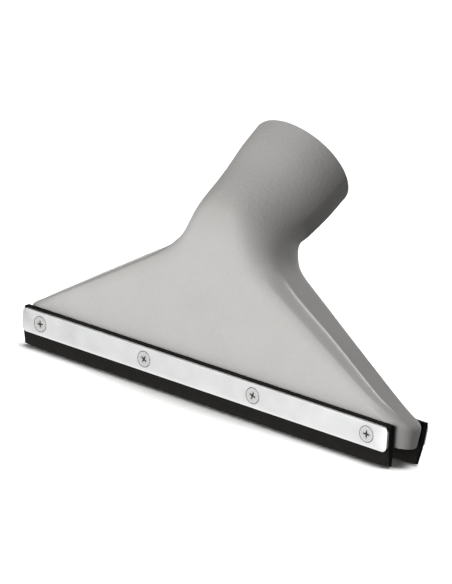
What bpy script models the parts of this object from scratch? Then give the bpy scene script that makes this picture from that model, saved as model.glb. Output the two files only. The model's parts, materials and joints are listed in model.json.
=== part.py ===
"""Wet pick-up nozzle of a commercial suction cleaner.

A hollow cast aluminium fan with a round wand socket, a rubber lip along the
front and the rear edge of its mouth, and a stainless clamp strip with four
countersunk screws over each lip.

The casting is laid out with its flat front face upright: X along the mouth,
Y rearwards from the front clamp face, Z up from the line of the front screws.
The whole tool is then leaned into its working stance, both lips on the floor.
"""

import math

import bpy
import numpy as np

MM = 0.001

# ---- driving dimensions, in millimetres ----
GAP = 0.3                      # between pieces that touch

STRIP_LENGTH = 250.0
STRIP_HEIGHT = 13.4
STRIP_THICK = 1.5
STRIP_CORNER = 3.0
STRIP_EDGE = 0.2

LIP_LENGTH = 250.8
LIP_THICK = 3.5
LIP_TOP = 7.0                  # above the screw line
LIP_HEIGHT = 22.7
LIP_TIP_THICK = 1.9
LIP_TAPER_START = -7.3         # outer face tapers from here down to the tip
LIP_EDGE = 0.25                # small bevel along the edges

SCREW_SPACING = 74.6
SCREW_COUNT = 4
HEAD_DIAMETER = 8.4
SHANK_DIAMETER = 4.0
SCREW_LENGTH = 10.0
HEAD_EDGE = 0.25               # straight rim above the countersink
TIP_CHAMFER = 0.7
RECESS_REACH = 1.7             # centre of the cross to the end of an arm
RECESS_WIDTH = 0.9
RECESS_DEPTH = 1.5

RIM_BELOW_SCREWS = 5.5
BAND_HALF_LENGTH = 130.0
BAND_CORNER = 11.0
BAND_DRAFT = 0.6               # narrowing of each end towards the mouth
BAND_TOP = 7.0                 # upright ends reach this far above the screws
REAR_DEPTH = 23.0              # rear screw line behind the front clamp face
REAR_DROP = 4.5                # rear screw line below the front one
REAR_LEAN = math.radians(12.0)

NECK_ANGLE = math.radians(33.2)     # neck axis above the Y direction
NECK_END = (71.0, 103.1)            # centre of the socket end, (Y, Z)
NECK_END_RADIUS = 29.9
NECK_MID_RADIUS = 29.6
NECK_ROOT_RADIUS = 28.0
NECK_LENGTH = 32.0
BORE_END_RADIUS = 25.8
BORE_ROOT_RADIUS = 25.2

BAND_WALL = 4.8
FAN_WALL = 3.6
SHOULDER_WALL = 4.2            # where the band runs into the fan
LEAST_INNER_CORNER = 2.5
BLEND = 3.2                    # length over which neighbouring stations blend
ROUND = 2.0                    # power of a corner curve that is a true ellipse

STANCE_SHIFT = 15.0            # middle of the tool's depth behind the middle of the tips

RINGS_OUTSIDE = 36
RINGS_INSIDE = 24
CUT_PAST = 3.0                 # how far the passage cutter runs past both openings

STACK = GAP + LIP_THICK + GAP + STRIP_THICK    # clamp face to strip face


# ---- scene ----
for old in list(bpy.data.objects):
    bpy.data.objects.remove(old, do_unlink=True)

nozzle = bpy.data.collections.new("wet_pickup_nozzle")
bpy.context.scene.collection.children.link(nozzle)
cutters = bpy.data.collections.new("cutters")
cutters.hide_render = True
bpy.context.scene.collection.children.link(cutters)


def material(name, colour, roughness, metallic):
    made = bpy.data.materials.new(name)
    made.use_nodes = True
    shader = made.node_tree.nodes["Principled BSDF"]
    shader.inputs["Base Color"].default_value = (*colour, 1.0)
    shader.inputs["Roughness"].default_value = roughness
    shader.inputs["Metallic"].default_value = metallic
    made.diffuse_color = (*colour, 1.0)
    return made


CASTING = material("satin_cast_aluminium", (0.52, 0.52, 0.50), 0.42, 0.25)
STAINLESS = material("brushed_stainless", (0.78, 0.79, 0.80), 0.28, 1.0)
SCREW_STEEL = material("plated_screw_steel", (0.70, 0.70, 0.71), 0.25, 1.0)
RUBBER = material("black_rubber", (0.022, 0.021, 0.020), 0.62, 0.0)


def put(obj, surface, parent, smooth_below=None):
    """Places an object in the nozzle's collection, with its material and shading."""
    nozzle.objects.link(obj)
    obj.parent = parent
    obj.data.materials.clear()
    obj.data.materials.append(surface)
    if smooth_below is not None:
        obj.data.shade_smooth()
        obj.data.set_sharp_from_angle(angle=math.radians(smooth_below))
    return obj


def cutter(obj, parent):
    cutters.objects.link(obj)
    obj.parent = parent
    obj.hide_render = True
    obj.display_type = "WIRE"
    return obj


def cut(target, tool, name):
    """Takes one solid out of another, with the exact solver."""
    boolean = target.modifiers.new(name, "BOOLEAN")
    boolean.operation = "DIFFERENCE"
    boolean.solver = "EXACT"
    boolean.object = tool


def mesh_object(name, points, faces):
    mesh = bpy.data.meshes.new(name)
    mesh.from_pydata([tuple(MM * c for c in p) for p in points], [], faces)
    mesh.validate()
    return bpy.data.objects.new(name, mesh)


def outline_solid(name, outline, half_depth, edge):
    """A flat outline in local XY, given a thickness along local Z, as a mesh."""
    curve = bpy.data.curves.new(name, "CURVE")
    curve.dimensions = "2D"
    curve.fill_mode = "BOTH"
    curve.extrude = (half_depth - edge) * MM
    curve.bevel_depth = edge * MM
    curve.bevel_resolution = 0
    curve.offset = -edge * MM
    spline = curve.splines.new("POLY")
    spline.points.add(len(outline) - 1)
    spline.use_cyclic_u = True
    for point, (x, y) in zip(spline.points, outline):
        point.co = (x * MM, y * MM, 0.0, 1.0)
    guide = bpy.data.objects.new(name + "_guide", curve)
    bpy.context.scene.collection.objects.link(guide)
    graph = bpy.context.evaluated_depsgraph_get()
    mesh = bpy.data.meshes.new_from_object(guide.evaluated_get(graph))
    bpy.data.objects.remove(guide, do_unlink=True)
    mesh.name = name
    made = bpy.data.objects.new(name, mesh)
    weld = made.modifiers.new("weld", "WELD")
    weld.merge_threshold = 0.01 * MM
    return made


# ---- frames: the working stance, and one seat for each clamped lip ----
def empty(name, parent, location, rotation):
    made = bpy.data.objects.new(name, None)
    nozzle.objects.link(made)
    made.parent = parent
    made.location = [MM * c for c in location]
    made.rotation_euler = rotation
    return made


def rear_point(outward, up):
    """(Y, Z) of a point given outwards from the rear clamp face and up along it."""
    across, along = math.cos(REAR_LEAN), math.sin(REAR_LEAN)
    return (REAR_DEPTH + outward * across + up * along,
            -REAR_DROP - outward * along + up * across)


lip_bottom = LIP_TOP - LIP_HEIGHT
front_tip = (-GAP - LIP_TIP_THICK, lip_bottom)
rear_tip = rear_point(GAP + LIP_TIP_THICK, lip_bottom)
LEAN = math.atan2(front_tip[1] - rear_tip[1], rear_tip[0] - front_tip[0])
tip_height = front_tip[0] * math.sin(LEAN) + front_tip[1] * math.cos(LEAN)
tip_middle = 0.5 * (
    (front_tip[0] + rear_tip[0]) * math.cos(LEAN)
    - (front_tip[1] + rear_tip[1]) * math.sin(LEAN))

stance = empty("working_stance", None, (0.0, -tip_middle - STANCE_SHIFT, -tip_height),
               (LEAN, 0.0, 0.0))
front_seat = empty("front_seat", stance, (0.0, 0.0, 0.0), (0.0, 0.0, 0.0))
rear_seat = empty("rear_seat", stance, (0.0, REAR_DEPTH, -REAR_DROP),
                  (REAR_LEAN, 0.0, math.pi))


# ---- casting: a loft from the long mouth to the round socket ----
def neck_station(behind, radius):
    """A round station this far behind the socket end, measured along the neck."""
    ahead, rise = math.cos(NECK_ANGLE), math.sin(NECK_ANGLE)
    y, z = NECK_END[0] - behind * ahead, NECK_END[1] - behind * rise
    return (y - radius * rise, z + radius * ahead, y + radius * rise, z - radius * ahead,
            radius, radius, radius, radius, radius, ROUND)


def clamp_station(height, half_length, shape):
    """A station across the two clamp faces, this far above both screw lines."""
    rear = rear_point(0.0, height)
    return (0.0, height, rear[0], rear[1], half_length, *shape)


# Each station: front point (Y, Z), rear point (Y, Z), half length along X, front
# corner (along X, in depth), rear corner (along X, in depth), front corner power.
ROUND_END = (BAND_CORNER, BAND_CORNER, BAND_CORNER, BAND_CORNER, ROUND)
OUTSIDE = np.array([
    clamp_station(-RIM_BELOW_SCREWS, BAND_HALF_LENGTH - BAND_DRAFT, ROUND_END),
    clamp_station(BAND_TOP, BAND_HALF_LENGTH, ROUND_END),
    (0.0, 15.0, 24.9, 8.0, 115.3, 15.8, 5.6, 15.4, 5.1, 1.4),
    (0.0, 40.0, 35.1, 29.9, 76.4, 26.0, 10.2, 28.5, 11.2, 1.6),
    (0.0, 58.0, 45.0, 44.2, 47.1, 28.8, 11.7, 28.0, 16.7, 1.6),
    (0.0, 70.0, 50.5, 51.6, 31.0, 23.0, 18.4, 26.9, 23.2, 2.0),
    (0.4, 78.0, 53.7, 57.6, 28.3, 21.3, 21.8, 26.0, 27.7, 2.0),
    (2.6, 85.4, 55.4, 63.0, 27.2, 19.3, 25.4, 25.5, 31.6, 1.9),
    (5.0, 93.5, 58.5, 62.5, 26.6, 20.3, 27.4, 25.6, 30.8, 1.6),
    neck_station(NECK_LENGTH, NECK_ROOT_RADIUS),
    neck_station(NECK_LENGTH / 2, NECK_MID_RADIUS),
    neck_station(0.0, NECK_END_RADIUS),
])


def hollow(stations):
    """The stations of the passage inside, set in from the outer ones by the wall."""
    walls = (BAND_WALL, BAND_WALL, SHOULDER_WALL) + (FAN_WALL,) * 6
    inner = []
    for station, wall in zip(stations, walls):
        front, rear = station[0:2], station[2:4]
        inward = (rear - front) / np.linalg.norm(rear - front) * wall
        corners = np.maximum(station[5:9] - wall, LEAST_INNER_CORNER)
        inner.append((*(front + inward), *(rear - inward), station[4] - wall, *corners,
                      station[9]))
    inner.append(neck_station(NECK_LENGTH, BORE_ROOT_RADIUS))
    inner.append(neck_station(0.0, BORE_END_RADIUS))
    return np.array(inner)


def longer(stations, extra):
    """The same run of stations, carried on past both of its ends."""
    def beyond(end, nearer):
        step = (end[0:4] - nearer[0:4]) / np.linalg.norm((end - nearer)[0:4]) * math.sqrt(2)
        return np.concatenate([end[0:4] + extra * step, end[4:]])
    return np.vstack([beyond(stations[0], stations[1]), stations,
                      beyond(stations[-1], stations[-2])])


def blended(stations, rings):
    """Evenly spaced stations, with the corners between the given ones rounded off."""
    middle = (stations[:, 0:2] + stations[:, 2:4]) / 2
    run = np.concatenate([[0.0], np.cumsum(np.linalg.norm(np.diff(middle, axis=0), axis=1))])
    count = int(math.ceil(run[-1] / 0.5))
    fine = np.linspace(0.0, run[-1], count + 1)
    reach = int(3 * BLEND / fine[1])
    weight = np.exp(-0.5 * (np.arange(-reach, reach + 1) * fine[1] / BLEND) ** 2)
    weight /= weight.sum()
    table = np.array([np.interp(fine, run, column) for column in stations.T]).T
    before = 2 * table[0] - table[1:reach + 1][::-1]
    after = 2 * table[-1] - table[-reach - 1:-1][::-1]
    table = np.vstack([before, table, after])
    table = np.array([np.convolve(column, weight, "valid") for column in table.T]).T
    return table[np.round(np.linspace(0, count, rings)).astype(int)]


def ring(station, corner_steps, flat_steps):
    """The closed curve of one station, front middle first, as rows of X, Y, Z."""
    front, rear = station[0:2], station[2:4]
    half, fx, fy, rx, ry, power = station[4:10]
    depth = np.linalg.norm(rear - front)
    fx, rx = min(fx, half), min(rx, half)
    squeeze = min(1.0, depth / (fy + ry))
    fy, ry = fy * squeeze, ry * squeeze
    turn = np.linspace(0.0, math.pi / 2, corner_steps, endpoint=False)
    flat = np.linspace(0.0, 1.0, flat_steps, endpoint=False)
    side = np.array([0.0, 0.5])
    half_ring = np.vstack([
        np.column_stack([flat * (half - fx), 0 * flat]),
        np.column_stack([half - fx + fx * np.sin(turn) ** (2 / power),
                         fy - fy * np.cos(turn) ** (2 / power)]),
        np.column_stack([half + 0 * side, fy + side * (depth - fy - ry)]),
        np.column_stack([half - rx + rx * np.cos(turn), depth - ry + ry * np.sin(turn)]),
        np.column_stack([(half - rx) * (1 - flat), depth + 0 * flat]),
    ])
    mirrored = half_ring[1:][::-1] * (-1, 1)
    flat_ring = np.vstack([half_ring, [(0.0, depth)], mirrored])
    across = (rear - front) / depth
    return np.column_stack([flat_ring[:, 0], front[0] + flat_ring[:, 1] * across[0],
                            front[1] + flat_ring[:, 1] * across[1]])


def loft(name, stations, rings, corner_steps, flat_steps):
    """A closed solid through the stations, with a flat cap on each end."""
    loops = [ring(s, corner_steps, flat_steps) for s in blended(stations, rings)]
    per_ring = len(loops[0])
    faces = [tuple(reversed(range(per_ring)))]
    for low in range(0, per_ring * (len(loops) - 1), per_ring):
        for i in range(per_ring):
            j = (i + 1) % per_ring
            faces.append((low + i, low + j, low + per_ring + j, low + per_ring + i))
    faces.append(tuple(range(per_ring * (len(loops) - 1), per_ring * len(loops))))
    return mesh_object(name, np.vstack(loops), faces)


body = put(loft("nozzle_body", OUTSIDE, RINGS_OUTSIDE, 7, 4), CASTING, stance, 35)
passage = cutter(loft("passage_cutter", longer(hollow(OUTSIDE), CUT_PAST), RINGS_INSIDE, 5, 3),
                 stance)
cut(body, passage, "hollow")


# ---- one turned shape for the screws and, a little larger, for their holes ----
def turned(name, profile, steps):
    """A solid turned about local Y from (radius, Y) points running inwards."""
    mesh = bpy.data.meshes.new(name)
    points = [(r * MM, y * MM, 0.0) for r, y in profile]
    mesh.from_pydata(points, [(i, i + 1) for i in range(len(points) - 1)], [])
    made = bpy.data.objects.new(name, mesh)
    screw = made.modifiers.new("turn", "SCREW")
    screw.axis = "Y"
    screw.steps = steps
    screw.render_steps = steps
    screw.use_merge_vertices = True
    screw.merge_threshold = 0.00001
    screw.use_normal_calculate = True
    return made


def screw_profile(clear, past):
    """Countersunk head flush with the strip face, at local Y = -STACK."""
    head, shank = HEAD_DIAMETER / 2 + clear, SHANK_DIAMETER / 2 + clear
    top, cone = -STACK - past, -STACK + HEAD_EDGE
    end = -STACK + SCREW_LENGTH + past
    return [(0.0, top), (head, top), (head, cone), (shank, cone + head - shank),
            (shank, end - TIP_CHAMFER), (shank - TIP_CHAMFER, end), (0.0, end)]


def cross_recess(name):
    """A tapering four-armed pit, with its mouth just outside the screw head."""
    def arms(reach, width, y):
        a, w = reach, width / 2
        corner = [(a, -w), (a, w), (w, w), (w, a), (-w, a), (-w, w),
                  (-a, w), (-a, -w), (-w, -w), (-w, -a), (w, -a), (w, -w)]
        return [(x, y, z) for x, z in corner]
    points = (arms(RECESS_REACH + 0.1, RECESS_WIDTH + 0.06, -STACK - 0.3)
              + arms(RECESS_REACH * 0.55, RECESS_WIDTH * 0.7, -STACK + RECESS_DEPTH))
    faces = [tuple(range(12)), tuple(reversed(range(12, 24)))]
    faces += [(i, i + 12, (i + 1) % 12 + 12, (i + 1) % 12) for i in range(12)]
    return mesh_object(name, points, faces)


def strip_outline():
    half, rise, r = STRIP_LENGTH / 2, STRIP_HEIGHT / 2, STRIP_CORNER
    corners = ((half - r, rise - r, 0), (r - half, rise - r, 90),
               (r - half, r - rise, 180), (half - r, r - rise, 270))
    return [(x + r * math.cos(math.radians(start + step)),
             y + r * math.sin(math.radians(start + step)))
            for x, y, start in corners for step in (0, 18, 36, 54, 72, 90)]


def lip_outline():
    inner, outer = -GAP, -GAP - LIP_THICK
    return [(inner, LIP_TOP), (outer, LIP_TOP), (outer, LIP_TAPER_START),
            (-GAP - LIP_TIP_THICK, lip_bottom), (inner, lip_bottom)]


def clamped_lip(side, seat):
    """A lip, its strip and its screws on one seat, and their holes in the casting."""
    lip = put(outline_solid(side + "_lip", lip_outline(), LIP_LENGTH / 2, LIP_EDGE),
              RUBBER, seat)
    lip.rotation_euler = (math.pi / 2, 0.0, math.pi / 2)
    strip = put(outline_solid(side + "_clamp_strip", strip_outline(), STRIP_THICK / 2, STRIP_EDGE),
                STAINLESS, seat)
    strip.rotation_euler = (math.pi / 2, 0.0, 0.0)
    strip.location.y = (-STACK + STRIP_THICK / 2) * MM
    for number in range(SCREW_COUNT):
        x = (number - (SCREW_COUNT - 1) / 2) * SCREW_SPACING
        label = f"{side}_screw_{number + 1}"
        screw = put(turned(label, screw_profile(0.0, 0.0), 24), SCREW_STEEL, seat, 30)
        screw.location.x = x * MM
        recess = cutter(cross_recess(label + "_recess"), seat)
        recess.location.x = x * MM
        cut(screw, recess, "cross_recess")
        hole = cutter(turned(label + "_hole", screw_profile(GAP, 1.0), 24), seat)
        hole.location.x = x * MM
        for piece in (strip, lip, body):
            cut(piece, hole, label + "_hole")


clamped_lip("front", front_seat)
clamped_lip("rear", rear_seat)
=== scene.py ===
"""Looks of the wet pick-up nozzle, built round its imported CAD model.

The casting, lips, strips and screws are rebuilt in fine meshes on the places
that the frame gives. Lengths are in millimetres until a mesh is made.
"""

import json
import math

import bpy
import numpy as np
from mathutils import Euler, Matrix, Vector, noise


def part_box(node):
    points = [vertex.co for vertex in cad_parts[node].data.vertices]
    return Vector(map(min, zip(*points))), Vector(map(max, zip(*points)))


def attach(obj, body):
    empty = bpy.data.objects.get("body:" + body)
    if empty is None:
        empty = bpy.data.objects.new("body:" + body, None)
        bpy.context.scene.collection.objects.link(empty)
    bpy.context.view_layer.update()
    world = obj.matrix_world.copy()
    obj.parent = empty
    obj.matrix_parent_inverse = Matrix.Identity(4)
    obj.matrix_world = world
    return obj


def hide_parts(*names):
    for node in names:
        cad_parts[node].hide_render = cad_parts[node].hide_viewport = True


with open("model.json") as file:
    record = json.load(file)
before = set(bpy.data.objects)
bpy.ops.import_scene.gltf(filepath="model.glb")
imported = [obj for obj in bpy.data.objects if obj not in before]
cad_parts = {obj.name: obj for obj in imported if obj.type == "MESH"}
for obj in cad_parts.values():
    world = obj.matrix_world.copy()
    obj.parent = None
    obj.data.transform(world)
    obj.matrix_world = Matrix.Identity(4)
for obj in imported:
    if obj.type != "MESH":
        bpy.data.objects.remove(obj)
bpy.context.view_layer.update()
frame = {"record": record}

MM = 0.001


# ---- sizes that the frame gives ----
def size_of(node):
    low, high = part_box(node)
    return (high - low) / MM


def middle_of(node):
    low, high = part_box(node)
    return (low + high) / 2 / MM


STRIP_LENGTH = size_of("front_clamp_strip").x
LIP_LENGTH = size_of("front_lip").x
SCREW_PLACES = [middle_of(f"front_screw_{number}").x for number in (1, 2, 3, 4)]

# ---- sizes of the design, in millimetres ----
GAP = 0.3
STRIP_HEIGHT = 13.4
STRIP_THICK = 1.5
STRIP_CORNER = 3.0
LIP_THICK = 3.5
LIP_TOP = 7.0
LIP_HEIGHT = 22.7
LIP_TIP_THICK = 1.9
LIP_TAPER_START = -7.3
STACK = GAP + LIP_THICK + GAP + STRIP_THICK

HEAD_DIAMETER = 8.4
SHANK_DIAMETER = 4.0
SCREW_LENGTH = 10.0
HEAD_EDGE = 0.25

RIM_BELOW_SCREWS = 5.5
BAND_BLEND_LOSS = 0.17         # the blending shortens the band by a little more than this
BAND_HALF_LENGTH = size_of("nozzle_body").x / 2 + BAND_BLEND_LOSS
BAND_CORNER = 11.0
BAND_DRAFT = 0.6
BAND_TOP = 7.0
REAR_DEPTH = 23.0
REAR_DROP = 4.5
REAR_LEAN = math.radians(12.0)

NECK_END_RADIUS = 29.9
NECK_MID_RADIUS = 29.6
NECK_ROOT_RADIUS = 28.0
NECK_LENGTH = 32.0
BORE_END_RADIUS = 25.8
BORE_ROOT_RADIUS = 25.2

BAND_WALL = 4.8
SHOULDER_WALL = 4.2
FAN_WALL = 3.6
LEAST_INNER_CORNER = 2.5
BLEND = 3.2                    # how softly one station turns into the next,
BAND_BLEND = 1.6               # and how softly along the clamp faces, where it is crisper
FINE_STEP = 0.5                # spacing of the stations while they are blended
ROUND = 2.0                    # power of a corner curve that is a true ellipse

RINGS_OUTSIDE = 170
RINGS_INSIDE = 80
RIM_ROUNDING = 0.7
EDGE_STEPS = 4                 # loops round any small rounded edge
CREST_IN = 0.35                # the raised edge lies this far in from the side,
CREST_AHEAD = 0.3              # this far ahead of the plain corner's end,
CREST_BEVEL = 3.0              # and a bevel this deep leads from it to the side
# Heights of the front face, in the casting's own layout, where its details come and go.
CREASE_FADE = (9.0, 17.0, 58.0, 68.0)
NECK_FADE = (72.0, 92.0)
# painted shade: the neck's rear half is darkened past its parting line, fading in between these
# heights
PARTING_FADE = (99.0, 105.0)
PARTING_STEPS = 2              # points from the neck's sides back to its parting line


# ---- places: the leaning casting, and a seat for each clamped lip ----
def rear_point(outward, up):
    """(Y, Z) of a point given outwards from the rear clamp face and up along it."""
    across, along = math.cos(REAR_LEAN), math.sin(REAR_LEAN)
    return (REAR_DEPTH + outward * across + up * along,
            -REAR_DROP - outward * along + up * across)


def working_stance():
    """The casting's own layout to the row frame, from the middles of the two strips."""
    laid_front = (-STACK + STRIP_THICK / 2, 0.0)
    laid_rear = rear_point(STACK - STRIP_THICK / 2, 0.0)
    front, rear = middle_of("front_clamp_strip"), middle_of("rear_clamp_strip")
    lean = (math.atan2(rear.z - front.z, rear.y - front.y)
            - math.atan2(laid_rear[1] - laid_front[1], laid_rear[0] - laid_front[0]))
    turned = Matrix.Rotation(lean, 4, "X")
    return Matrix.Translation(front - turned @ Vector((0.0, *laid_front))) @ turned


STANCE = working_stance()
FRONT_SEAT = STANCE
REAR_SEAT = (STANCE @ Matrix.Translation((0.0, REAR_DEPTH, -REAR_DROP))
             @ Euler((REAR_LEAN, 0.0, math.pi)).to_matrix().to_4x4())

socket = next(m for m in frame["record"]["mounts"] if m["name"] == "wand_socket")
socket_end = STANCE.inverted() @ (Vector(socket["pos_m"]) / MM)
socket_axis = STANCE.to_3x3().inverted() @ Vector(socket["axis"])
NECK_END = (socket_end.y, socket_end.z)
NECK_ANGLE = math.atan2(socket_axis.z, socket_axis.y)


# ---- mesh helpers ----
def to_frame(points, seat):
    """Rows of millimetres on a seat, as rows of metres in the row frame."""
    matrix = np.array(seat)
    return (np.asarray(points, float) @ matrix[:3, :3].T + matrix[:3, 3]) * MM


def new_piece(name, points, faces, seat):
    mesh = bpy.data.meshes.new(name)
    mesh.from_pydata(to_frame(points, seat).tolist(), [], faces)
    mesh.validate()
    made = bpy.data.objects.new(name, mesh)
    bpy.context.scene.collection.objects.link(made)
    return made


def tube_faces(loops, around, closed=False):
    """Quads between following loops of points, and back to the first if closed."""
    faces = []
    for low in range(loops if closed else loops - 1):
        a, b = low * around, (low + 1) % loops * around
        for i in range(around):
            j = (i + 1) % around
            faces.append((a + i, a + j, b + j, b + i))
    return faces


def add_attribute(obj, name, values):
    made = obj.data.attributes.new(name, "FLOAT", "POINT")
    made.data.foreach_set("value", np.asarray(values, np.float32))


def apply_modifiers(obj):
    """Bakes the modifiers into the mesh, and drops the cutters that they used."""
    graph = bpy.context.evaluated_depsgraph_get()
    mesh = bpy.data.meshes.new_from_object(obj.evaluated_get(graph))
    cutters = {m.object for m in obj.modifiers if m.type == "BOOLEAN"}
    obj.modifiers.clear()
    obj.data = mesh
    for cutter in cutters:
        bpy.data.objects.remove(cutter)


def cut(obj, cutter):
    boolean = obj.modifiers.new(cutter.name, "BOOLEAN")
    boolean.solver = "EXACT"
    boolean.object = cutter
    cutter.hide_render = True


def turned_rows(profile, steps, x):
    """Rows and faces of a solid turned about local Y at x, from (radius, y) points."""
    angles = np.linspace(0.0, 2 * math.pi, steps, endpoint=False)
    rows = [(x, profile[0][1], 0.0)]
    for radius, y in profile[1:-1]:
        rows += [(x + radius * math.sin(a), y, radius * math.cos(a)) for a in angles]
    rows.append((x, profile[-1][1], 0.0))
    rings = len(profile) - 2
    faces = [tuple(1 + i for i in face) for face in tube_faces(rings, steps)]
    last = len(rows) - 1
    for i in range(steps):
        j = (i + 1) % steps
        faces.append((0, 1 + j, 1 + i))
        faces.append((last, last - steps + i, last - steps + j))
    return rows, faces


# ---- casting ----
def neck_station(behind, radius):
    """A round station this far behind the socket end, measured along the neck."""
    ahead, rise = math.cos(NECK_ANGLE), math.sin(NECK_ANGLE)
    y, z = NECK_END[0] - behind * ahead, NECK_END[1] - behind * rise
    return (y - radius * rise, z + radius * ahead, y + radius * rise, z - radius * ahead,
            radius, radius, radius, radius, radius, ROUND)


def clamp_station(height, half_length):
    """A station across the two clamp faces, this far above both screw lines."""
    return (0.0, height, *rear_point(0.0, height), half_length,
            BAND_CORNER, BAND_CORNER, BAND_CORNER, BAND_CORNER, ROUND)


# Each station: front point (Y, Z), rear point (Y, Z), half length along X, front
# corner (along X, in depth), rear corner (along X, in depth), front corner power.
# The seven that are written out as numbers are a fitting program's result, rounded.
OUTSIDE = np.array([
    clamp_station(-RIM_BELOW_SCREWS, BAND_HALF_LENGTH - BAND_DRAFT),
    clamp_station(BAND_TOP, BAND_HALF_LENGTH),
    (0.0, 15.0, 24.9, 8.0, 115.3, 15.8, 5.6, 15.4, 5.1, 1.4),
    (0.0, 40.0, 35.1, 29.9, 76.4, 26.0, 10.2, 28.5, 11.2, 1.6),
    (0.0, 58.0, 45.0, 44.2, 47.1, 28.8, 11.7, 28.0, 16.7, 1.6),
    (0.0, 70.0, 50.5, 51.6, 31.0, 23.0, 18.4, 26.9, 23.2, 2.0),
    (0.4, 78.0, 53.7, 57.6, 28.3, 21.3, 21.8, 26.0, 27.7, 2.0),
    (2.6, 85.4, 55.4, 63.0, 27.2, 19.3, 25.4, 25.5, 31.6, 1.9),
    (5.0, 93.5, 58.5, 62.5, 26.6, 20.3, 27.4, 25.6, 30.8, 1.6),
    neck_station(NECK_LENGTH, NECK_ROOT_RADIUS),
    neck_station(NECK_LENGTH / 2, NECK_MID_RADIUS),
    neck_station(0.0, NECK_END_RADIUS),
])


def hollow(stations):
    """The stations of the passage inside, set in from the outer ones by the wall."""
    walls = (BAND_WALL, BAND_WALL, SHOULDER_WALL) + (FAN_WALL,) * 6
    inner = []
    for station, wall in zip(stations, walls):
        front, rear = station[0:2], station[2:4]
        inward = (rear - front) / np.linalg.norm(rear - front) * wall
        corners = np.maximum(station[5:9] - wall, LEAST_INNER_CORNER)
        inner.append((*(front + inward), *(rear - inward), station[4] - wall, *corners,
                      station[9]))
    inner.append(neck_station(NECK_LENGTH, BORE_ROOT_RADIUS))
    inner.append(neck_station(0.0, BORE_END_RADIUS))
    return np.array(inner)


def smoothed(table, step, blend):
    """The table's columns blurred over this length, with both ends carried on."""
    reach = int(3 * blend / step)
    weight = np.exp(-0.5 * (np.arange(-reach, reach + 1) * step / blend) ** 2)
    weight /= weight.sum()
    before = 2 * table[0] - table[1:reach + 1][::-1]
    after = 2 * table[-1] - table[-reach - 1:-1][::-1]
    longer = np.vstack([before, table, after])
    return np.array([np.convolve(column, weight, "valid") for column in longer.T]).T


def blended(stations, rings):
    """Evenly spaced stations, with the corners between the given ones rounded off."""
    middle = (stations[:, 0:2] + stations[:, 2:4]) / 2
    run = np.concatenate([[0.0], np.cumsum(np.linalg.norm(np.diff(middle, axis=0), axis=1))])
    count = int(math.ceil(run[-1] / FINE_STEP))
    fine = np.linspace(0.0, run[-1], count + 1)
    table = np.array([np.interp(fine, run, column) for column in stations.T]).T
    crisp = np.interp(fine, run[1:3], (1.0, 0.0))[:, None]
    table = (crisp * smoothed(table, fine[1], BAND_BLEND)
             + (1 - crisp) * smoothed(table, fine[1], BLEND))
    even = np.linspace(0.0, run[-1], rings)
    return np.array([np.interp(even, fine, column) for column in table.T]).T


# Points along half a ring: flat front, front corner, side, rear corner, flat rear.
FLAT_STEPS, CORNER_STEPS, SIDE_STEPS = 24, 40, 18

# Places across the slanted corner, front to raised edge, and how steep it is there:
# nearly flat, then steep, and past a groove the gentler flank of the raised edge.
SLANT_PLACES = (0.0, 0.30, 0.64, 0.71, 0.88, 0.90, 0.94, 1.0)
SLANT_STEEPNESS = (0.0, 0.25, 0.55, 1.40, 1.85, 1.85, 0.50, 0.40)
CROWDING = 1.4                 # above 1, the points crowd towards the raised edge
BEVEL_EASING = 1.2             # above 1, the bevel behind it flattens into the side


def crested_corner(steps):
    """A slanted corner that ends in a raised edge: rows of (across, back), 0 to 1."""
    across = np.linspace(0.0, 1.0, 400)
    steepness = np.interp(across, SLANT_PLACES, SLANT_STEEPNESS)
    back = np.concatenate([[0.0], np.cumsum((steepness[1:] + steepness[:-1]) / 2)])
    places = 1.0 - np.linspace(1.0, 0.0, steps, endpoint=False) ** CROWDING
    return np.column_stack([places, np.interp(places, across, back / back[-1])])


CRESTED = crested_corner(CORNER_STEPS)
# How bright the worn edge and its painted highlight are, by steps before and behind the crest
# itself.
CREST_WEAR_AND_HIGHLIGHT = {-11: 0.1, -10: 0.25, -9: 0.45, -8: 0.6, -7: 0.65, -6: 0.7, -5: 0.75,
              -4: 0.75, -3: 0.8, -2: 0.85, -1: 0.9, 0: 0.9, 1: 0.6, 2: 0.25}


def half_ring(station, crest, depth):
    """One half of a ring as rows of (X, depth), from front middle to rear middle."""
    half, fx, fy, rx, ry, power = station[4:10]
    fx, rx = min(fx, half), min(rx, half)
    squeeze = min(1.0, depth / (fy + ry))
    fy, ry = fy * squeeze, ry * squeeze
    end = np.array((half - crest * CREST_IN, fy - crest * CREST_AHEAD))
    start = np.array((half - fx, 0.0))
    turn = np.linspace(0.0, math.pi / 2, CORNER_STEPS, endpoint=False)
    plain = np.column_stack([np.sin(turn) ** (2 / power), 1 - np.cos(turn) ** (2 / power)])
    corner = start + (end - start) * ((1 - crest) * plain + crest * CRESTED)
    flat = np.linspace(0.0, 1.0, FLAT_STEPS, endpoint=False)
    side_y = np.linspace(end[1], depth - ry, SIDE_STEPS, endpoint=False)
    inset = crest * CREST_IN * np.clip(1 - (side_y - end[1]) / CREST_BEVEL, 0, 1) ** BEVEL_EASING
    return np.vstack([
        np.column_stack([flat * (half - fx), 0 * flat]),
        corner,
        np.column_stack([half - inset, side_y]),
        np.column_stack([half - rx + rx * np.cos(turn), depth - ry + ry * np.sin(turn)]),
        np.column_stack([(half - rx) * (1 - flat), depth + 0 * flat]),
    ])


def ring(station, crest):
    """The closed curve of one station, front middle first, as rows of X, Y, Z.

    The crest is the share, from 0 to 1, of the raised edge at the front corner's end.
    """
    front, rear = station[0:2], station[2:4]
    depth = np.linalg.norm(rear - front)
    right = half_ring(station, crest, depth)
    flat_ring = np.vstack([right, [(0.0, depth)], right[1:][::-1] * (-1, 1)])
    across = (rear - front) / depth
    return np.column_stack([flat_ring[:, 0], front[0] + flat_ring[:, 1] * across[0],
                            front[1] + flat_ring[:, 1] * across[1]])


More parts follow.
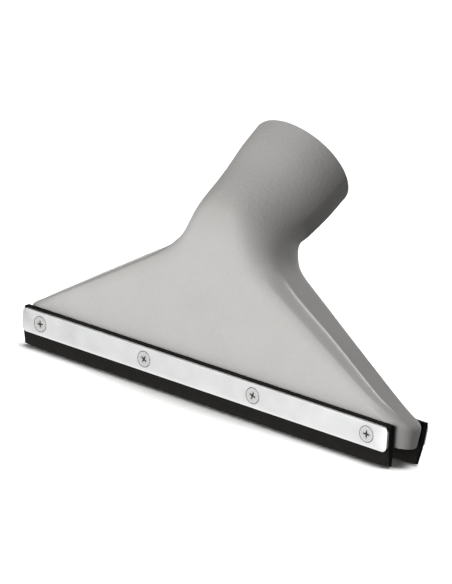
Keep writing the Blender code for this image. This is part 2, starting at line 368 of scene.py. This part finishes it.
HALF_RING = 2 * FLAT_STEPS + 2 * CORNER_STEPS + SIDE_STEPS
AROUND = 2 * HALF_RING
CREASES = (FLAT_STEPS + CORNER_STEPS, AROUND - FLAT_STEPS - CORNER_STEPS)


def rounded_rim(outer, inner, beyond):
    """Loops that carry an outer loop over a rounded, flat rim to an inner one."""
    inward = inner - outer
    inward /= np.linalg.norm(inward, axis=1)[:, None]
    turns = np.linspace(0.0, math.pi / 2, EDGE_STEPS)
    over = [outer + RIM_ROUNDING * ((1 - math.cos(a)) * inward - (1 - math.sin(a)) * beyond)
            for a in turns]
    back = [inner - RIM_ROUNDING * ((1 - math.cos(a)) * inward + (1 - math.sin(a)) * beyond)
            for a in turns[::-1]]
    return over + back


def casting():
    """The hollow casting: outside, socket rim, passage inside and mouth rim."""
    stations = blended(OUTSIDE, RINGS_OUTSIDE)
    height = stations[:, 1]
    crest = np.interp(height, CREASE_FADE, (0.0, 1.0, 1.0, 0.0))
    outside = [ring(station, share) for station, share in zip(stations, crest)]
    inside = [ring(s, 0.0) for s in blended(hollow(OUTSIDE), RINGS_INSIDE)]
    neck = np.array((0.0, math.cos(NECK_ANGLE), math.sin(NECK_ANGLE)))
    down = np.array((0.0, 0.0, -1.0))
    top = rounded_rim(outside[-1], inside[-1], neck)
    mouth = rounded_rim(inside[0], outside[0], down)
    loops = outside[1:-1] + top + inside[1:-1][::-1] + mouth
    faces = tube_faces(len(loops), AROUND, closed=True)
    made = new_piece("nozzle_casting", np.vstack(loops), faces, STANCE)
    mark_casting(made, len(loops), height[1:-1], crest[1:-1], len(top))
    return made


def mark_casting(made, loops, height, crest, rim_loops):
    """Stores where the neck, its rear half with painted shade, the raised edges with wear and
    painted highlight, and the two rims are.
    """
    neck, back_half_painted_shade, crease, edge = (np.zeros((loops, AROUND)) for _ in range(4))
    rows = len(height)
    neck[:rows] = np.interp(height, NECK_FADE, (0.0, 1.0))[:, None]
    neck[rows:rows + rim_loops] = 1.0
    behind = slice(CREASES[0] + PARTING_STEPS, CREASES[1] - PARTING_STEPS + 1)
    back_half_painted_shade[:rows, behind] = np.interp(height, PARTING_FADE, (0.0, 1.0))[:, None]
    for line, backwards in zip(CREASES, (1, -1)):
        for step, share in CREST_WEAR_AND_HIGHLIGHT.items():
            crease[:rows, line + step * backwards] = share * crest
    edge[rows:rows + EDGE_STEPS] = 1.0
    edge[-EDGE_STEPS:] = 1.0
    for name, values in (("neck", neck), ("back_half_painted_shade", back_half_painted_shade),
                         ("crease", crease), ("edge", edge)):
        add_attribute(made, name, values.ravel())


# ---- rubber lips ----
def rounded_outline(corners, radius, steps):
    """A convex outline with its corners rounded, as points in turn."""
    made = []
    corners = [np.array(c, float) for c in corners]
    neighbours = zip(corners[-1:] + corners[:-1], corners, corners[1:] + corners[:1])
    for before, corner, after in neighbours:
        to_before = (before - corner) / np.linalg.norm(before - corner)
        to_after = (after - corner) / np.linalg.norm(after - corner)
        reach = radius / math.tan(math.acos(np.clip(to_before @ to_after, -1, 1)) / 2)
        start, end = corner + reach * to_before, corner + reach * to_after
        for t in np.linspace(0.0, 1.0, steps):
            made.append((1 - t) ** 2 * start + 2 * t * (1 - t) * corner + t ** 2 * end)
    return np.array(made)


LIP_BOTTOM = LIP_TOP - LIP_HEIGHT
LIP_SECTIONS = 140
LIP_EDGE = 0.25
LIP_END_RISE = 0.35            # the tip rises this much towards both ends
LIP_CORNER_RISE = 0.45         # and this much more at its worn corners
LIP_CORNER_LENGTH = 3.0
LIP_WAVE = 0.06                # the rubber is this uneven along its length
LIP_WAVES_PER_MM = 0.05
WIPED_HEIGHT = 3.5             # the tip is grey with dust up to here


def lip_section(outline, x, half, wave_row):
    """The lip's outline at one place along X: worn near the ends, and a little wavy."""
    past = max(abs(x) - half + LIP_EDGE, 0)
    shrink = LIP_EDGE - math.sqrt(max(LIP_EDGE ** 2 - past ** 2, 0))
    out = outline - outline.mean(axis=0)
    out = outline - out / np.linalg.norm(out, axis=1)[:, None] * shrink
    low = np.clip((LIP_TAPER_START - out[:, 1]) / (LIP_TAPER_START - LIP_BOTTOM), 0, 1)
    rise = (LIP_END_RISE * (abs(x) / half) ** 4
            + LIP_CORNER_RISE * math.exp(-(half - abs(x)) / LIP_CORNER_LENGTH))
    wave = LIP_WAVE * noise.noise((x * LIP_WAVES_PER_MM, wave_row, 0.0))
    return np.column_stack([np.full(len(out), x), out[:, 0] + wave * low,
                            out[:, 1] + rise * low])


def lip(side, seat):
    """A squeegee lip: one tapered outline swept along X, with worn ends."""
    inner, outer = -GAP, -GAP - LIP_THICK
    outline = rounded_outline(
        [(inner, LIP_TOP), (outer, LIP_TOP), (outer, LIP_TAPER_START),
         (-GAP - LIP_TIP_THICK, LIP_BOTTOM), (inner, LIP_BOTTOM)], LIP_EDGE, EDGE_STEPS)
    half = LIP_LENGTH / 2
    ends = half - LIP_EDGE + LIP_EDGE * np.sin(np.linspace(0.0, math.pi / 2, EDGE_STEPS))
    inside = np.linspace(-half + LIP_EDGE, half - LIP_EDGE, LIP_SECTIONS)[1:-1]
    places = np.concatenate([-ends[::-1], inside, ends])
    loops = [lip_section(outline, x, half, seat[1][3]) for x in places]
    around = len(outline)
    faces = tube_faces(len(loops), around)
    last = (len(loops) - 1) * around
    faces += [tuple(range(around)), tuple(reversed(range(last, last + around)))]
    made = new_piece(side + "_rubber_lip", np.vstack(loops), faces, seat)
    above_tip = np.vstack(loops)[:, 2] - LIP_BOTTOM
    add_attribute(made, "wiped", np.clip(1.0 - above_tip / WIPED_HEIGHT, 0, 1))
    return made


# ---- clamp strips ----
STRIP_EDGE = 0.25
STRIP_CORNER_POINTS = 13


def strip(side, seat):
    """A flat bar with rounded corners and softened edges."""
    half, rise = STRIP_LENGTH / 2, STRIP_HEIGHT / 2
    corners = [(half, rise), (-half, rise), (-half, -rise), (half, -rise)]
    centres = [(math.copysign(half - STRIP_CORNER, x), math.copysign(rise - STRIP_CORNER, z))
               for x, z in corners]
    turns = np.linspace(0.0, math.pi / 2, STRIP_CORNER_POINTS)
    face, back = -STACK, -STACK + STRIP_THICK
    layers = [(face + STRIP_EDGE * (1 - math.sin(a)), STRIP_EDGE * (1 - math.cos(a)))
              for a in np.linspace(math.pi / 2, 0.0, EDGE_STEPS)]
    layers += [(back - STRIP_EDGE * (1 - math.sin(a)), STRIP_EDGE * (1 - math.cos(a)))
               for a in np.linspace(0.0, math.pi / 2, EDGE_STEPS)]
    loops = []
    for y, inset in layers:
        radius = STRIP_CORNER - inset
        loops.append([(cx + radius * math.cos(start + a), y, cz + radius * math.sin(start + a))
                      for (cx, cz), start in zip(centres, np.arange(4) * math.pi / 2)
                      for a in turns])
    around = len(loops[0])
    faces = tube_faces(len(loops), around)
    last = (len(loops) - 1) * around
    faces += [tuple(reversed(range(around))), tuple(range(last, last + around))]
    return new_piece(side + "_strip", np.vstack(loops), faces, seat)


# ---- screws ----
TURN_STEPS = 64
RECESS_REACH = 2.0
RECESS_WIDTH = 0.75
RECESS_DEPTH = 1.9
RECESS_ROOT = 0.62             # from the middle to where two arms meet, in arm widths
RECESS_FLARE = (1.08, 1.1)     # reach and width at the cutter's top, above the head
RECESS_ABOVE = 0.25
RECESS_TAPER = 0.62            # reach and width at the arms' lower ends
RECESS_ARM_DEPTH = 0.8         # share of the depth that the arms reach, above the point
RECESS_PAINTED_SHADE = 0.45             # how dark the painted shade in the cross is at its top, growing downwards
PAINTED_SHADE_REACH = 1.1               # the painted shade's reach, in reaches of the cross,
PAINTED_SHADE_BELOW = 0.1               # and how far under the cross points still count
ARM_END_POINTS = 7
TIP_CHAMFER = 0.7
HEAD_ROUNDING = 0.08
# How far each cross is turned from upright, in degrees.
CROSS_TURNS = {"front": (-8, 28, 18, 0), "rear": (35, -14, 6, -30)}


def screw_profile(clear, past):
    """Countersunk head flush with the strip face, at local Y = -STACK."""
    head, shank = HEAD_DIAMETER / 2 + clear, SHANK_DIAMETER / 2 + clear
    top, cone = -STACK - past, -STACK + HEAD_EDGE
    end = -STACK + SCREW_LENGTH + past
    return [(0.0, top), (head - HEAD_ROUNDING, top), (head, top + HEAD_ROUNDING), (head, cone),
            (shank, cone + head - shank), (shank, end - TIP_CHAMFER),
            (shank - TIP_CHAMFER, end), (0.0, end)]


def cross_recess(name, x, turned, seat):
    """A tapering four-armed pit with rounded arm ends and a pointed floor."""
    def arms(reach, width, y):
        quarter = []
        for a in np.linspace(-math.pi / 2, math.pi / 2, ARM_END_POINTS):
            quarter.append((reach - width / 2 + width / 2 * math.cos(a),
                            width / 2 * math.sin(a)))
        quarter.append((width * RECESS_ROOT, width * RECESS_ROOT))
        rows = []
        for quarter_turn in range(4):
            a = quarter_turn * math.pi / 2 - turned
            c, s = math.cos(a), math.sin(a)
            rows += [(x + c * u - s * v, y, s * u + c * v) for u, v in quarter]
        return rows
    wider, thicker = RECESS_FLARE
    loops = [arms(RECESS_REACH * wider, RECESS_WIDTH * thicker, -STACK - RECESS_ABOVE),
             arms(RECESS_REACH * RECESS_TAPER, RECESS_WIDTH * RECESS_TAPER,
                  -STACK + RECESS_DEPTH * RECESS_ARM_DEPTH)]
    around = len(loops[0])
    points = np.vstack(loops + [[(x, -STACK + RECESS_DEPTH, 0.0)]])
    faces = [tuple(reversed(face)) for face in tube_faces(2, around)]
    faces.append(tuple(range(around)))
    tip = 2 * around
    faces += [(around + i, tip, around + (i + 1) % around) for i in range(around)]
    return new_piece(name, points, faces, seat)


def screw(side, number, seat):
    """A countersunk screw with its cross recess, which is marked for painted shade."""
    name = f"{side}_strip_screw_{number}"
    x = SCREW_PLACES[number - 1]
    rows, faces = turned_rows(screw_profile(0.0, 0.0), TURN_STEPS, x)
    made = new_piece(name, rows, faces, seat)
    turned = math.radians(CROSS_TURNS[side][number - 1])
    cut(made, cross_recess(name + "_recess", x, turned, seat))
    apply_modifiers(made)
    matrix = np.array(seat.inverted())
    points = np.array([v.co for v in made.data.vertices]) / MM @ matrix[:3, :3].T + matrix[:3, 3]
    depth = points[:, 1] + STACK
    across = np.hypot(points[:, 0] - x, points[:, 2])
    inside = (across < RECESS_REACH * PAINTED_SHADE_REACH) & (depth < RECESS_DEPTH + PAINTED_SHADE_BELOW)
    # painted shade: the recess value grows darker deeper down in the cross
    add_attribute(made, "recess", np.where(inside, np.clip(RECESS_PAINTED_SHADE + depth, 0, 1), 0))
    return made


def screw_holes(seat):
    """One cutter with all the countersunk holes of a seat."""
    points, faces = [], []
    for x in SCREW_PLACES:
        rows, hole = turned_rows(screw_profile(GAP, 1.0), TURN_STEPS, x)
        faces += [tuple(i + len(points) for i in face) for face in hole]
        points += rows
    return new_piece("screw_holes", points, faces, seat)


# ---- materials ----
class Surface:
    """A Principled material, with short calls for the nodes that vary it."""

    def __init__(self, name, colour, roughness, metallic, specular=0.5):
        self.material = bpy.data.materials.new(name)
        self.material.use_nodes = True
        self.tree = self.material.node_tree
        self.shader = self.tree.nodes["Principled BSDF"]
        self.shader.inputs["Base Color"].default_value = (*colour, 1.0)
        self.shader.inputs["Roughness"].default_value = roughness
        self.shader.inputs["Metallic"].default_value = metallic
        self.shader.inputs["Specular IOR Level"].default_value = specular
        self.colour = None
        self.place = self.tree.nodes.new("ShaderNodeTexCoord").outputs["Object"]

    def link(self, source, target):
        self.tree.links.new(source, target)

    def attribute(self, name):
        """A value stored on the mesh's own points."""
        node = self.tree.nodes.new("ShaderNodeAttribute")
        node.attribute_name = name
        return node.outputs["Fac"]

    def stretched(self, scale, turn=(0.0, 0.0, 0.0)):
        """The object's coordinates, turned and scaled along each axis."""
        node = self.tree.nodes.new("ShaderNodeMapping")
        node.vector_type = "TEXTURE"
        node.inputs["Rotation"].default_value = turn
        node.inputs["Scale"].default_value = [1.0 / c for c in scale]
        self.link(self.place, node.inputs["Vector"])
        return node.outputs["Vector"]

    def noise(self, size_mm, detail=2.0, roughness=0.5, place=None):
        """Noise whose features are about this size, between 0 and 1."""
        node = self.tree.nodes.new("ShaderNodeTexNoise")
        node.inputs["Scale"].default_value = 1.0 / (size_mm * MM)
        node.inputs["Detail"].default_value = detail
        node.inputs["Roughness"].default_value = roughness
        self.link(place or self.place, node.inputs["Vector"])
        return node.outputs["Fac"]

    def spread(self, value, low, high, start=0.3, stop=0.7):
        """Maps start..stop on to low..high, and holds the ends."""
        node = self.tree.nodes.new("ShaderNodeMapRange")
        for socket_name, number in (("From Min", start), ("From Max", stop),
                                    ("To Min", low), ("To Max", high)):
            node.inputs[socket_name].default_value = number
        self.link(value, node.inputs["Value"])
        return node.outputs["Result"]

    def combine(self, operation, first, second):
        node = self.tree.nodes.new("ShaderNodeMath")
        node.operation = operation
        for value, target in ((first, node.inputs[0]), (second, node.inputs[1])):
            if isinstance(value, (int, float)):
                target.default_value = value
            else:
                self.link(value, target)
        return node.outputs["Value"]

    def tint(self, colour, amount):
        """Lays a colour over what is there so far, by an amount from 0 to 1."""
        node = self.tree.nodes.new("ShaderNodeMix")
        node.data_type = "RGBA"
        if self.colour is None:
            node.inputs[6].default_value = self.shader.inputs["Base Color"].default_value
        else:
            self.link(self.colour, node.inputs[6])
        node.inputs[7].default_value = (*colour, 1.0)
        self.link(amount, node.inputs[0])
        self.colour = node.outputs[2]
        self.link(self.colour, self.shader.inputs["Base Color"])

    def roughness(self, value):
        self.link(value, self.shader.inputs["Roughness"])

    def bump(self, *heights):
        """Adds relief: each height is a value from 0 to 1 and its depth in mm."""
        normal = None
        for value, depth in heights:
            node = self.tree.nodes.new("ShaderNodeBump")
            node.inputs["Distance"].default_value = depth * MM
            self.link(value, node.inputs["Height"])
            if normal is not None:
                self.link(normal, node.inputs["Normal"])
            normal = node.outputs["Normal"]
        self.link(normal, self.shader.inputs["Normal"])


def cast_aluminium():
    """Satin silver-grey casting: smooth on the front, orange peel on the neck."""
    made = Surface("satin_cast_aluminium", (0.548, 0.537, 0.529),
                   roughness=0.48, metallic=0.0, specular=0.3)
    clouds = made.spread(made.noise(26.0, 3.0), 0.0, 0.8)
    made.tint((0.508, 0.497, 0.489), clouds)
    bright_flecks = made.spread(made.noise(1.6, 3.0), 0.0, 0.3)
    made.tint((0.612, 0.600, 0.592), bright_flecks)
    dark_specks = made.spread(made.noise(0.7, 2.0), 0.0, 0.3, 0.62, 0.75)
    made.tint((0.420, 0.411, 0.400), dark_specks)
    made.tint((0.480, 0.470, 0.460), made.combine("MULTIPLY", made.attribute("neck"), 0.8))
    # painted shade: the rear half of the neck, which falls in shade, is darkened
    made.tint((0.400, 0.390, 0.375), made.attribute("back_half_painted_shade"))
    wear_and_highlight = made.spread(made.noise(2.4, 4.0, 0.6), 0.15, 1.0, 0.36, 0.6)
    # worn edge and painted highlight: the raised edge is lightened where it catches the light
    made.tint((0.65, 0.64, 0.62), made.combine("MULTIPLY", made.attribute("crease"), wear_and_highlight))
    rubbed = made.spread(made.noise(3.5, 4.0, 0.6), 0.0, 0.6, 0.42, 0.6)
    made.tint((0.60, 0.59, 0.58), made.combine("MULTIPLY", made.attribute("edge"), rubbed))
    made.roughness(made.spread(made.noise(1.9, 4.0), 0.42, 0.54))
    peel = made.combine("ADD", 0.2, made.combine("MULTIPLY", made.attribute("neck"), 0.8))
    grain = made.combine("MULTIPLY", made.noise(2.0, 2.0, 0.45), peel)
    fine = made.combine("MULTIPLY", made.noise(0.5, 2.0, 0.5), peel)
    lumps = made.combine("MULTIPLY", made.noise(3.2, 2.0, 0.5), made.attribute("crease"))
    made.bump((grain, 0.34), (fine, 0.04), (lumps, 0.12))
    return made.material


def brushed_stainless(lean):
    """Strip brushed along its length, with faint smudges."""
    made = Surface("brushed_stainless", (0.79, 0.795, 0.80), roughness=0.30, metallic=1.0)
    along = made.stretched((1.0, 70.0, 70.0), (lean, 0.0, 0.0))
    brushing = made.noise(16.0, 4.0, 0.65, along)
    made.tint((0.69, 0.695, 0.70), made.spread(brushing, 0.0, 0.45))
    clouds = made.spread(made.noise(9.0, 3.0), 0.0, 0.5)
    made.tint((0.84, 0.845, 0.85), clouds)
    smudge = made.spread(made.noise(13.0, 4.0, 0.6), 0.0, 0.08)
    made.roughness(made.combine("ADD", made.spread(brushing, 0.25, 0.36), smudge))
    made.bump((brushing, 0.004))
    return made.material


def screw_steel():
    """Bright screw, with painted shade down in its cross."""
    made = Surface("bright_screw_steel", (0.80, 0.80, 0.795), roughness=0.24, metallic=1.0)
    tarnish = made.spread(made.noise(0.8, 4.0, 0.6), 0.0, 0.6)
    made.tint((0.71, 0.71, 0.705), tarnish)
    # painted shade: the cross is darkened where shade falls inside it
    made.tint((0.16, 0.16, 0.155), made.attribute("recess"))
    smear = made.spread(made.noise(0.5, 3.0), 0.2, 0.34)
    dulled = made.combine("MULTIPLY", made.attribute("recess"), 0.4)
    made.roughness(made.combine("ADD", smear, dulled))
    made.bump((made.noise(0.35, 3.0), 0.004))
    return made.material


def black_rubber():
    """Matt rubber with a fine moulded grain, greyer where it wipes the floor."""
    made = Surface("black_rubber", (0.009, 0.0085, 0.0075),
                   roughness=0.6, metallic=0.0, specular=0.06)
    clouds = made.spread(made.noise(7.0, 4.0, 0.6), 0.0, 0.8)
    made.tint((0.013, 0.0125, 0.011), clouds)
    dust = made.spread(made.noise(1.2, 4.0, 0.7), 0.0, 0.4, 0.5, 0.75)
    made.tint((0.045, 0.043, 0.04), made.combine("MULTIPLY", made.attribute("wiped"), dust))
    made.roughness(made.spread(made.noise(0.9, 3.0), 0.52, 0.68))
    made.bump((made.noise(0.5, 3.0, 0.6), 0.02), (made.noise(6.0, 2.0), 0.05))
    return made.material


def pale_floor():
    """Matt, nearly white, with very faint wide clouds."""
    made = Surface("pale_floor", (0.90, 0.90, 0.895),
                   roughness=0.8, metallic=0.0, specular=0.2)
    clouds = made.spread(made.noise(60.0, 3.0), 0.0, 1.0)
    made.tint((0.88, 0.88, 0.875), clouds)
    return made.material


def white_backdrop():
    """Glows evenly white, and shows no light of its own surroundings."""
    glow = bpy.data.materials.new("white_backdrop")
    glow.use_nodes = True
    shader = glow.node_tree.nodes["Principled BSDF"]
    shader.inputs["Base Color"].default_value = (0.0, 0.0, 0.0, 1.0)
    shader.inputs["Emission Color"].default_value = (1.0, 1.0, 0.99, 1.0)
    shader.inputs["Emission Strength"].default_value = 1.0
    shader.inputs["Specular IOR Level"].default_value = 0.0
    return glow


FRONT_LEAN = math.atan2(STANCE[2][1], STANCE[1][1])
CAST = cast_aluminium()
RUBBER = black_rubber()
SCREW_STEEL = screw_steel()
STAINLESS = {"front": brushed_stainless(FRONT_LEAN),
             "rear": brushed_stainless(FRONT_LEAN + REAR_LEAN)}


def finish_piece(obj, material, slot, *nodes, sharp=35):
    """Gives a piece its finish, and says which body and nodes it stands for. The slot is not
    used.
    """
    obj.data.materials.clear()
    obj.data.materials.append(material)
    obj.data.shade_smooth()
    obj.data.set_sharp_from_angle(angle=math.radians(sharp))
    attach(obj, "root")
    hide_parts(*nodes)


body = casting()
for side, seat in (("front", FRONT_SEAT), ("rear", REAR_SEAT)):
    rubber = lip(side, seat)
    plate = strip(side, seat)
    for piece in (rubber, plate, body):
        cut(piece, screw_holes(seat))
    apply_modifiers(rubber)
    apply_modifiers(plate)
    finish_piece(rubber, RUBBER, "rubber", side + "_lip")
    finish_piece(plate, STAINLESS[side], "stainless", side + "_clamp_strip")
    for number in range(1, 5):
        turned_screw = screw(side, number, seat)
        finish_piece(turned_screw, SCREW_STEEL, "screw_steel", f"{side}_screw_{number}")
apply_modifiers(body)
finish_piece(body, CAST, "cast_body", "nozzle_body")


# ---- stage: a plain pale floor, and a white backdrop all round ----
FLOOR_REACH = 7.0
BACKDROP_RADIUS = 9.0


def unseen_by_light(obj):
    """Shows an object to the camera without letting it light or shade the tool."""
    obj.visible_diffuse = False
    obj.visible_glossy = False
    obj.visible_shadow = False


def stage():
    """The floor and the backdrop; gives back the floor."""
    made = bpy.data.meshes.new("floor")
    reach = FLOOR_REACH
    corners = [(-reach, -reach, 0.0), (reach, -reach, 0.0), (reach, reach, 0.0),
               (-reach, reach, 0.0)]
    made.from_pydata(corners, [], [(0, 1, 2, 3)])
    made.materials.append(pale_floor())
    floor = bpy.data.objects.new("floor", made)
    bpy.context.scene.collection.objects.link(floor)

    bpy.ops.mesh.primitive_uv_sphere_add(radius=BACKDROP_RADIUS, segments=48, ring_count=24)
    backdrop = bpy.context.object
    backdrop.name = "backdrop"
    backdrop.data.shade_smooth()
    backdrop.data.materials.append(white_backdrop())
    for piece in (floor, backdrop):
        unseen_by_light(piece)
    return floor


floor = stage()


# ---- camera: a long lens, turned about its own axis as well ----
# Its place, directions and focal length are a fitting program's result.
CAMERA_FOCAL = 224.7
SENSOR = 36.0
camera_back = Vector((0.5978964, -0.7838525, 0.1676158))
camera_up = Vector((-0.2420313, 0.0228076, 0.9700004))
camera_eye = Vector((1.1377633, -1.5141473, 0.3793208))
camera = bpy.data.objects.new("camera", bpy.data.cameras.new("camera"))
bpy.context.scene.collection.objects.link(camera)
bpy.context.scene.camera = camera
camera_turn = Matrix((camera_up.cross(camera_back), camera_up, camera_back)).transposed()
camera.matrix_world = Matrix.Translation(camera_eye) @ camera_turn.to_4x4()
camera.data.sensor_width = SENSOR
camera.data.lens = CAMERA_FOCAL
camera.data.clip_end = 50.0


# ---- light: broad soft light from all round, strongest from the front ----
# Each soft light: the direction that it comes from, and its strength. They started as a fitting
# program's result, and some were then changed.
SOFT_LIGHTS = (
    ((0.0, -1.0, -0.04), 5.80),
    ((0.17, 0.0, 0.99), 2.45),
    ((-0.70, -0.16, -0.70), 1.72),
    ((-0.38, 0.90, 0.21), 1.27),
    ((-0.79, -0.61, 0.04), 0.80),
    ((-0.26, -0.56, -0.79), 1.02),
    ((-0.19, -0.89, -0.41), 0.86),
    ((0.03, 0.85, -0.53), 0.34),
    ((0.25, 0.95, 0.05), 0.90),
)
SOFTNESS = 14.0                # power of the fall-off away from that direction


def studio_light():
    """One world whose brightness adds up all the soft lights."""
    world = bpy.data.worlds.new("studio")
    bpy.context.scene.world = world
    world.use_nodes = True
    tree = world.node_tree
    direction = tree.nodes.new("ShaderNodeTexCoord").outputs["Generated"]
    total = None
    for source, strength in SOFT_LIGHTS:
        facing = tree.nodes.new("ShaderNodeVectorMath")
        facing.operation = "DOT_PRODUCT"
        facing.inputs[1].default_value = Vector(source).normalized()
        tree.links.new(direction, facing.inputs[0])
        value = facing.outputs["Value"]
        for operation, number in (("MAXIMUM", 0.0), ("POWER", SOFTNESS), ("MULTIPLY", strength)):
            node = tree.nodes.new("ShaderNodeMath")
            node.operation = operation
            node.inputs[1].default_value = number
            tree.links.new(value, node.inputs[0])
            value = node.outputs["Value"]
        if total is not None:
            add = tree.nodes.new("ShaderNodeMath")
            tree.links.new(total, add.inputs[0])
            tree.links.new(value, add.inputs[1])
            value = add.outputs["Value"]
        total = value
    background = tree.nodes["Background"]
    background.inputs["Color"].default_value = (1.0, 1.0, 0.99, 1.0)
    tree.links.new(total, background.inputs["Strength"])


FLOOR_LIGHT_SPREAD = math.radians(50.0)
FLOOR_LIGHT_FROM = Vector((-0.05, 0.10, 1.0))
FLOOR_LIGHT_STRENGTH = 3.9


def floor_light(floor):
    """Even overhead light on the floor only, so that the tool shades it softly."""
    lit = bpy.data.collections.new("lit_by_floor_light")
    lit.objects.link(floor)
    data = bpy.data.lights.new("floor_light", "SUN")
    data.angle = FLOOR_LIGHT_SPREAD
    data.energy = FLOOR_LIGHT_STRENGTH
    light = bpy.data.objects.new("floor_light", data)
    light.rotation_euler = FLOOR_LIGHT_FROM.to_track_quat("Z", "Y").to_euler()
    light.light_linking.receiver_collection = lit
    bpy.context.scene.collection.objects.link(light)


studio_light()
floor_light(floor)
bpy.context.scene.view_settings.view_transform = "Standard"
